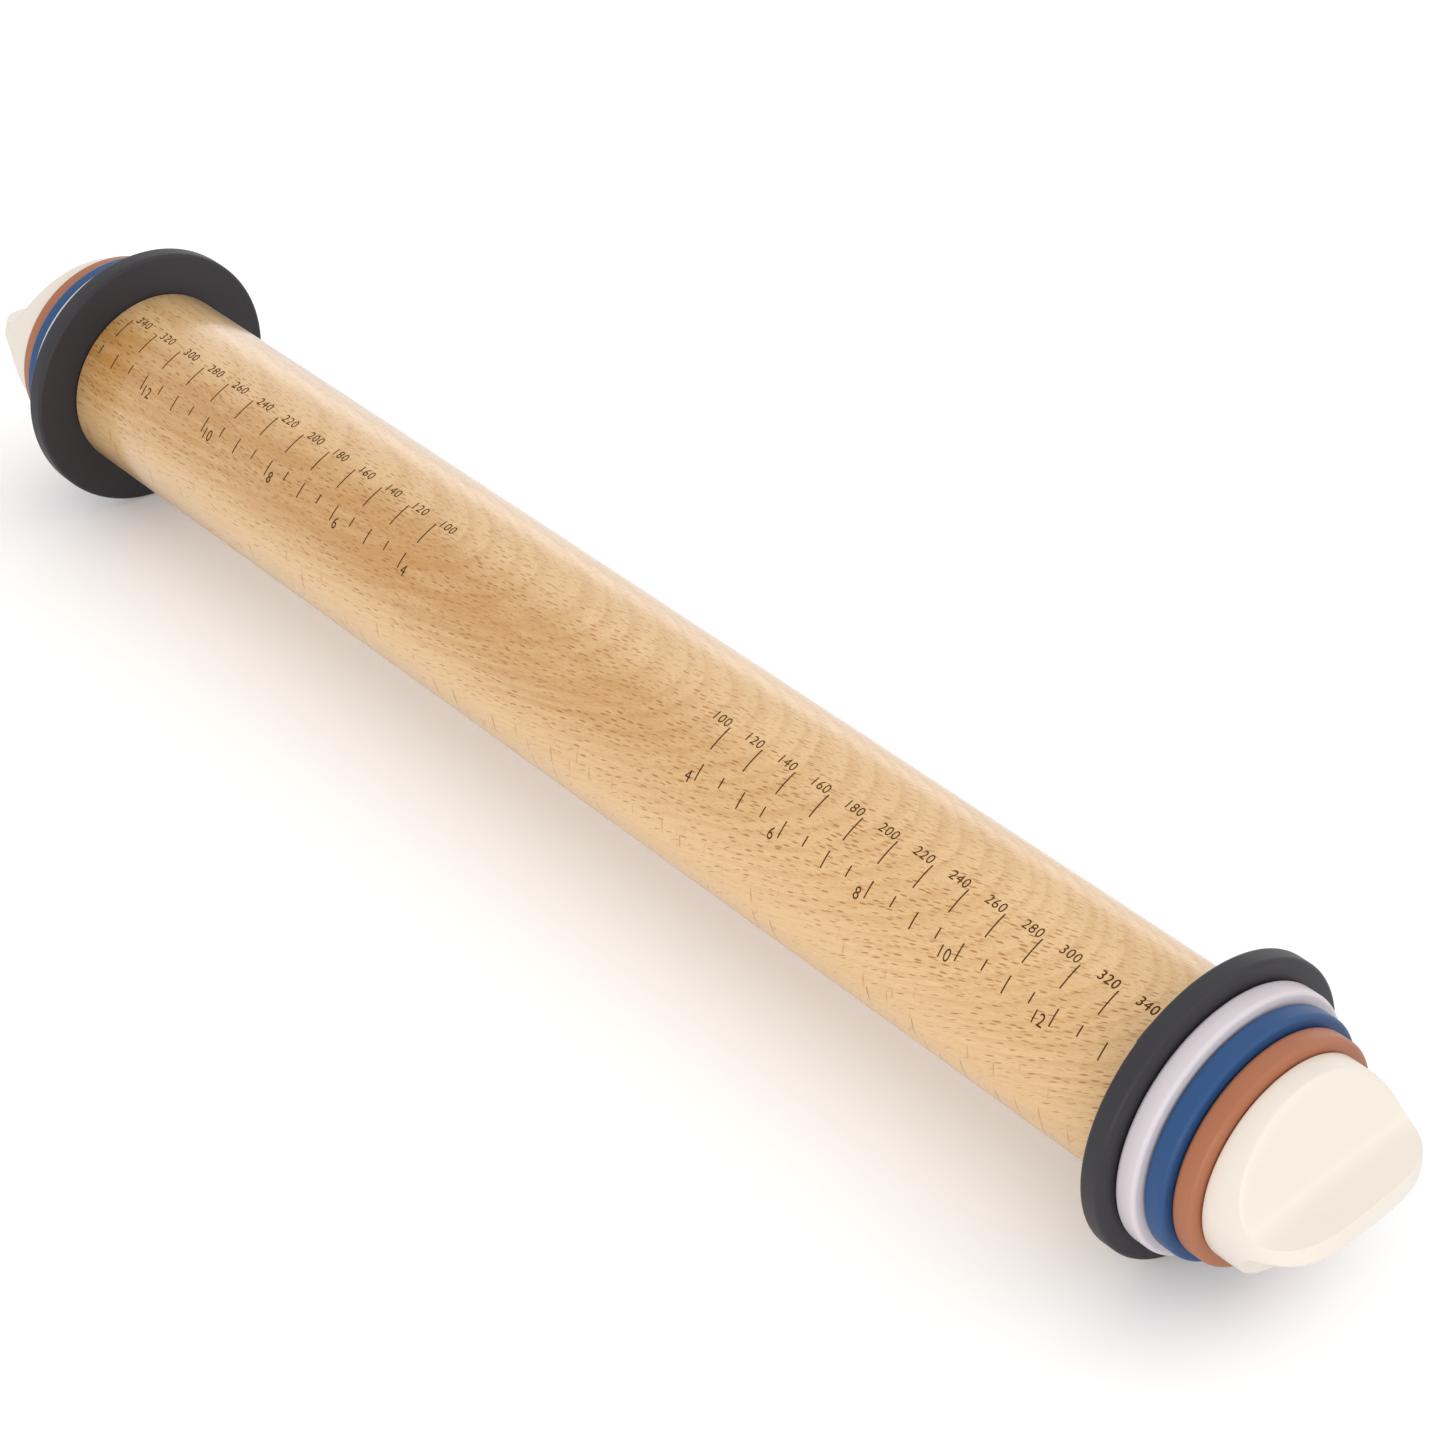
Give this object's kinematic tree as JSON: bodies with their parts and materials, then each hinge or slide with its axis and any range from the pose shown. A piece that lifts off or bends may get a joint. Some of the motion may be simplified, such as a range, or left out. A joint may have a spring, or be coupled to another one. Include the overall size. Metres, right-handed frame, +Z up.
{
  "type": "adjustable rolling pin",
  "caption": "Beech rolling pin with removable thickness rings at both ends, held by screw-in end caps with thumb wings.",
  "frame": {"origin": "centre of the pin on its long axis, midway between the two charcoal rings", "axes": "+X along the pin towards the end nearer the camera in the picture, +Y away from the camera, +Z up"},
  "size_m": [0.435, 0.0648, 0.0648],
  "materials": {
    "beech": "fine sanded beech with short dark flecks, lightly oiled",
    "charcoal_plastic": "satin moulded plastic",
    "lilac_plastic": "satin moulded plastic",
    "blue_plastic": "satin moulded plastic",
    "terracotta_plastic": "satin moulded plastic",
    "cream_plastic": "smooth cream plastic with a soft gloss",
    "stem_plastic": "plain moulded plastic",
    "socket_plastic": "plain moulded plastic"
  },
  "bodies": {
    "barrel": {"wood_barrel": "beech", "thread_socket_left": "socket_plastic", "thread_socket_right": "socket_plastic"},
    "charcoal_ring_left": {"charcoal_ring_left": "charcoal_plastic"},
    "lilac_ring_left": {"lilac_ring_left": "lilac_plastic"},
    "blue_ring_left": {"blue_ring_left": "blue_plastic"},
    "terracotta_ring_left": {"terracotta_ring_left": "terracotta_plastic"},
    "cap_left": {"end_cap_left": "cream_plastic", "threaded_stem_left": "stem_plastic"},
    "charcoal_ring_right": {"charcoal_ring_right": "charcoal_plastic"},
    "lilac_ring_right": {"lilac_ring_right": "lilac_plastic"},
    "blue_ring_right": {"blue_ring_right": "blue_plastic"},
    "terracotta_ring_right": {"terracotta_ring_right": "terracotta_plastic"},
    "cap_right": {"end_cap_right": "cream_plastic", "threaded_stem_right": "stem_plastic"}
  },
  "joints": [
    {"name": "charcoal_slide_left", "type": "slide", "parent": "barrel", "child": "charcoal_ring_left", "axis": [-1, 0, 0], "range_m": [0, 0.00562]},
    {"name": "lilac_slide_left", "type": "slide", "parent": "barrel", "child": "lilac_ring_left", "axis": [-1, 0, 0], "range_m": [0, 0.01125]},
    {"name": "blue_slide_left", "type": "slide", "parent": "barrel", "child": "blue_ring_left", "axis": [-1, 0, 0], "range_m": [0, 0.01688]},
    {"name": "terracotta_slide_left", "type": "slide", "parent": "barrel", "child": "terracotta_ring_left", "axis": [-1, 0, 0], "range_m": [0, 0.0225]},
    {"name": "cap_turn_left", "type": "hinge", "parent": "terracotta_ring_left", "child": "cap_left", "pos_m": [-0.1961, 0, 0], "axis": [-1, 0, 0], "range_deg": [0, 1350]},
    {"name": "charcoal_slide_right", "type": "slide", "parent": "barrel", "child": "charcoal_ring_right", "axis": [1, 0, 0], "range_m": [0, 0.00562]},
    {"name": "lilac_slide_right", "type": "slide", "parent": "barrel", "child": "lilac_ring_right", "axis": [1, 0, 0], "range_m": [0, 0.01125]},
    {"name": "blue_slide_right", "type": "slide", "parent": "barrel", "child": "blue_ring_right", "axis": [1, 0, 0], "range_m": [0, 0.01688]},
    {"name": "terracotta_slide_right", "type": "slide", "parent": "barrel", "child": "terracotta_ring_right", "axis": [1, 0, 0], "range_m": [0, 0.0225]},
    {"name": "cap_turn_right", "type": "hinge", "parent": "terracotta_ring_right", "child": "cap_right", "pos_m": [0.1961, 0, 0], "axis": [1, 0, 0], "range_deg": [0, 1350]}
  ],
  "couplings": [
    {"joint": "terracotta_slide_left", "follows": "cap_turn_left", "m_per_rad": 0.00095493},
    {"joint": "blue_slide_left", "follows": "cap_turn_left", "m_per_rad": 0.0007162},
    {"joint": "lilac_slide_left", "follows": "cap_turn_left", "m_per_rad": 0.00047746},
    {"joint": "charcoal_slide_left", "follows": "cap_turn_left", "m_per_rad": 0.00023873},
    {"joint": "terracotta_slide_right", "follows": "cap_turn_right", "m_per_rad": 0.00095493},
    {"joint": "blue_slide_right", "follows": "cap_turn_right", "m_per_rad": 0.0007162},
    {"joint": "lilac_slide_right", "follows": "cap_turn_right", "m_per_rad": 0.00047746},
    {"joint": "charcoal_slide_right", "follows": "cap_turn_right", "m_per_rad": 0.00023873}
  ]
}
